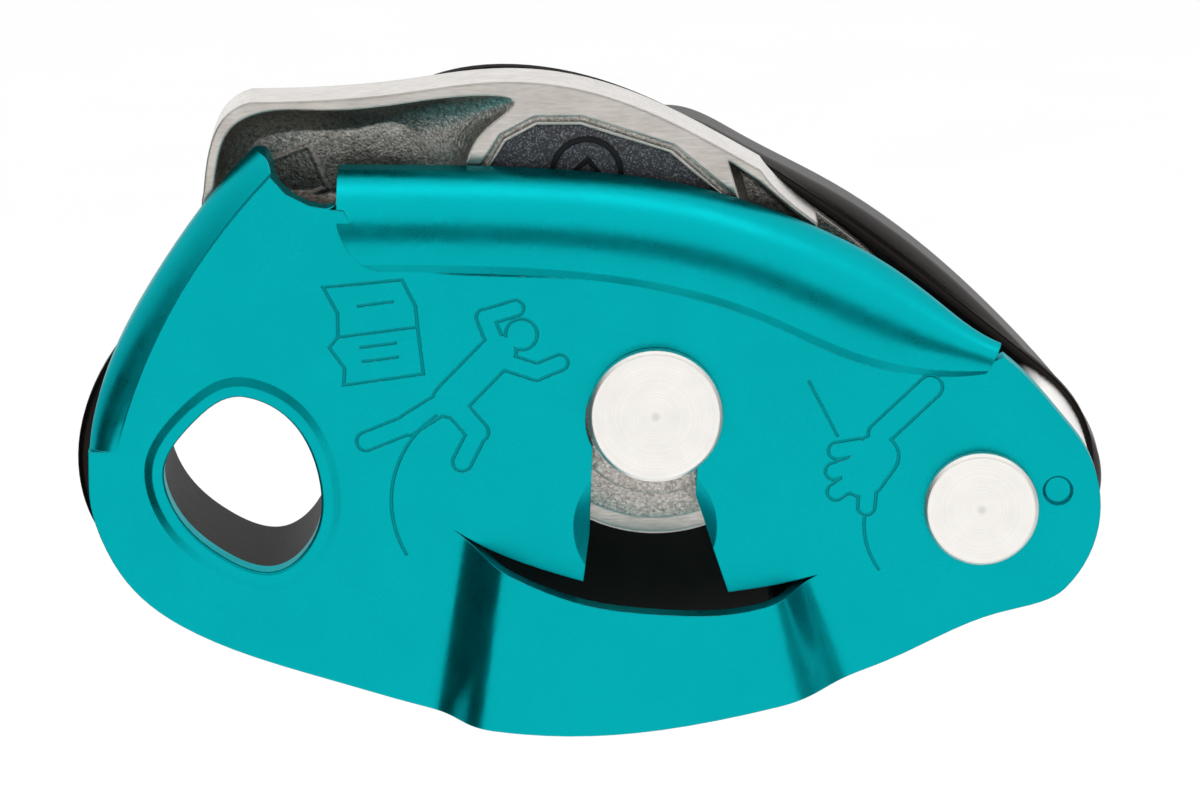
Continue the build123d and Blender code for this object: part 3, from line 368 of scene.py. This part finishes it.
FINISHES = {
    "moving_side_plate": anodised("teal_anodised", TEAL, TEAL_DEEP, TEAL_WORN, 0.3,
                                  linear(150, 204, 207),
                                  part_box("pivot_bush")[0].y + ENGRAVED),
    "fixed_side_plate": anodised("black_anodised_plate", linear(38, 34, 32),
                                 linear(28, 25, 23), linear(120, 115, 110), 0.34,
                                 linear(140, 138, 136)),
    "attachment_collar": moulded("black_collar", linear(20, 14, 12), linear(34, 27, 24), 0.3,
                                 1.12),
    # the friction plate gets painted shadow, black up to the pivot rivet
    "friction_plate": steel_with_painted_shadow("polished_steel", STEEL, linear(16, 15, 15),
                                     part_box("pivot_rivet")[1].x),
    "friction_plate_rivets": brushed_metal("rivet_steel", STEEL, STEEL_DARK, 0.3, EVEN),
    "main_axle": turned("turned_axle", STEEL, centre_of("main_axle")),
    "pivot_rivet": turned("turned_rivet", STEEL, centre_of("pivot_rivet")),
    "pivot_spring_washer": brushed_metal("washer_steel", WASHER, WASHER_DARK, 0.3,
                                         EVEN),
    "axle_rear_washer": turned("turned_washer", WASHER, centre_of("axle_rear_washer")),
    "handle_wave_washer": brushed_metal("wave_washer_steel", WASHER, WASHER_DARK, 0.3,
                                        EVEN),
    "cam_return_spring": brushed_metal("spring_steel", ALLOY, ALLOY_DARK, 0.3, EVEN),
    # linear(70, 59, 52) is painted shade for the scoop, towards its depth and below SCOOP_LIT
    "cam": cast("cast_steel", linear(205, 200, 194), linear(128, 121, 112),
                linear(70, 59, 52), panel_front - EMBLEM_RISE, panel_front + SCOOP_DEPTH,
                SCOOP_LIT, (axle_centre.x, axle_centre.z, HUB_REACH, HUB_RIM)),
    "cam_bushing": brushed_metal("bronze_bush", BRONZE, BRONZE_DARK, 0.3, EVEN),
    "pivot_bush": brushed_metal("bronze_pivot_bush", BRONZE, BRONZE_DARK, 0.3, EVEN),
    "cam_insert_panel": glitter("dark_panel", linear(56, 57, 61), linear(150, 152, 158),
                                panel_front + 0.1 * MM),
    "cam_drive_pin": brushed_metal("pin_steel", STEEL, STEEL_DARK, 0.3, EVEN),
    # linear(58, 49, 43) is painted shade, darker towards the back of the handle core
    "handle_core": cast("handle_alloy", ALLOY, ALLOY_DARK, linear(58, 49, 43),
                        core_low.y, core_high.y, core_low.z),
    "handle_sleeve": brushed_metal("bronze_sleeve", BRONZE, BRONZE_DARK, 0.3, EVEN),
    "handle_grip": moulded("black_nylon", NYLON, NYLON_PALE, 0.3),
    "handle_hub_cap": moulded("black_nylon_cap", NYLON, NYLON_PALE, 0.25),
    "handle_screws": brushed_metal("screw_steel", ALLOY, ALLOY_DARK, 0.3, EVEN),
}
for node_name, material in FINISHES.items():
    node = nodes[node_name]
    node.data.materials.clear()
    node.data.materials.append(material)


# ---- floor, light, camera -----------------------------------------------------------
def flat_material(name, colour, other):
    """Plain matt surface with a faint change of tone."""
    f = Finish(name, 0.0, 0.6)
    tone = f.ramp(f.noise(40.0, 3.0), 0.0, 1.0, at=(0.3, 0.7))
    return f.finish(f.mix(tone, colour, other))


low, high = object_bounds()
FLOOR_REACH = 4.0
FLOOR_DROP = 0.12                # the part hangs this far above the floor, as in a product shot
floor_mesh = bpy.data.meshes.new("floor")
floor_mesh.from_pydata(
    [(x * FLOOR_REACH, y * FLOOR_REACH, low.z - FLOOR_DROP)
     for x, y in ((-1, -1), (1, -1), (1, 1), (-1, 1))],
    [], [(0, 1, 2, 3)])
floor = bpy.data.objects.new("floor", floor_mesh)
bpy.context.scene.collection.objects.link(floor)
floor_mesh.materials.append(flat_material("floor_white", (0.95, 0.95, 0.95, 1.0),
                                        (0.94, 0.94, 0.94, 1.0)))

world = bpy.data.worlds.new("studio")
bpy.context.scene.world = world
world.use_nodes = True
sky = world.node_tree
sky.nodes.clear()
background = sky.nodes.new("ShaderNodeBackground")
world_output = sky.nodes.new("ShaderNodeOutputWorld")
sky.links.new(background.outputs[0], world_output.inputs[0])
direction = sky.nodes.new("ShaderNodeTexCoord")
parts = sky.nodes.new("ShaderNodeSeparateXYZ")
sky.links.new(direction.outputs["Generated"], parts.inputs[0])
sideways = sky.nodes.new("ShaderNodeMath")
sideways.operation = "ABSOLUTE"
sky.links.new(parts.outputs["X"], sideways.inputs[0])
shade = sky.nodes.new("ShaderNodeMapRange")
shade.interpolation_type = "SMOOTHSTEP"
shade.inputs["From Min"].default_value = 0.55
shade.inputs["From Max"].default_value = 0.95
shade.inputs["To Min"].default_value = 1.0
shade.inputs["To Max"].default_value = 0.6
sky.links.new(sideways.outputs[0], shade.inputs["Value"])
sky.links.new(shade.outputs["Result"], background.inputs["Color"])
background.inputs["Strength"].default_value = 1.1

middle = (low + high) / 2


def softbox(name, offset, width, height, watts):
    """Area light at an offset from the middle of the part, aimed at it."""
    light = bpy.data.lights.new(name, "AREA")
    light.shape = "RECTANGLE"
    light.size, light.size_y = width, height
    light.energy = watts
    made = bpy.data.objects.new(name, light)
    made.location = middle + Vector(offset)
    made.rotation_euler = (-Vector(offset)).to_track_quat("-Z", "Y").to_euler()
    bpy.context.scene.collection.objects.link(made)


def card(name, azimuth, elevation, distance, width, height, tone):
    """Dark card that only shows in reflections; azimuth is to the left of the front."""
    mesh = bpy.data.meshes.new(name)
    mesh.from_pydata([(x * width / 2, y * height / 2, 0)
                      for x, y in ((-1, -1), (1, -1), (1, 1), (-1, 1))], [], [(0, 1, 2, 3)])
    mesh.materials.append(flat_material(name + "_tone", (tone, tone, tone, 1.0),
                                        (tone * 1.2, tone * 1.2, tone * 1.2, 1.0)))
    made = bpy.data.objects.new(name, mesh)
    turn, lift = math.radians(azimuth), math.radians(elevation)
    offset = Vector((-math.sin(turn) * math.cos(lift), -math.cos(turn) * math.cos(lift),
                     math.sin(lift))) * distance
    made.location = middle + offset
    made.rotation_euler = offset.to_track_quat("Z", "Y").to_euler()
    made.visible_camera = False
    made.visible_diffuse = False
    made.visible_shadow = False
    made.visible_transmission = False
    bpy.context.scene.collection.objects.link(made)


card("left_card", 70, -6, 0.22, 0.24, 0.26, 0.02)
card("front_card", 0, 26, 0.30, 0.60, 0.15, 0.2)
card("right_card", -66, -10, 0.25, 0.16, 0.20, 0.25)

softbox("top_softbox", (0.0, 0.12, 0.7), 0.8, 0.25, 0.45)
softbox("left_strip", (-0.7, -0.6, 0.3), 0.12, 0.5, 0.3)
softbox("right_strip", (0.75, -0.5, 0.25), 0.12, 0.5, 0.3)

VIEW_DISTANCE = 0.9
VIEW_ELEVATION = math.radians(12.5)
LENS = 259.2
SENSOR = 36.0
VIEW_TARGET = Vector((37.19, -19.5, 9.71)) * MM
camera_data = bpy.data.cameras.new("camera")
camera_data.lens = LENS
camera_data.sensor_width = SENSOR
camera_data.clip_start = 0.01
camera_data.clip_end = 20.0
camera = bpy.data.objects.new("camera", camera_data)
away = Vector((0, -math.cos(VIEW_ELEVATION), math.sin(VIEW_ELEVATION)))
camera.location = VIEW_TARGET + VIEW_DISTANCE * away
camera.rotation_euler = (-away).to_track_quat("-Z", "Y").to_euler()
bpy.context.scene.collection.objects.link(camera)
bpy.context.scene.camera = camera
bpy.context.scene.view_settings.view_transform = "Standard"
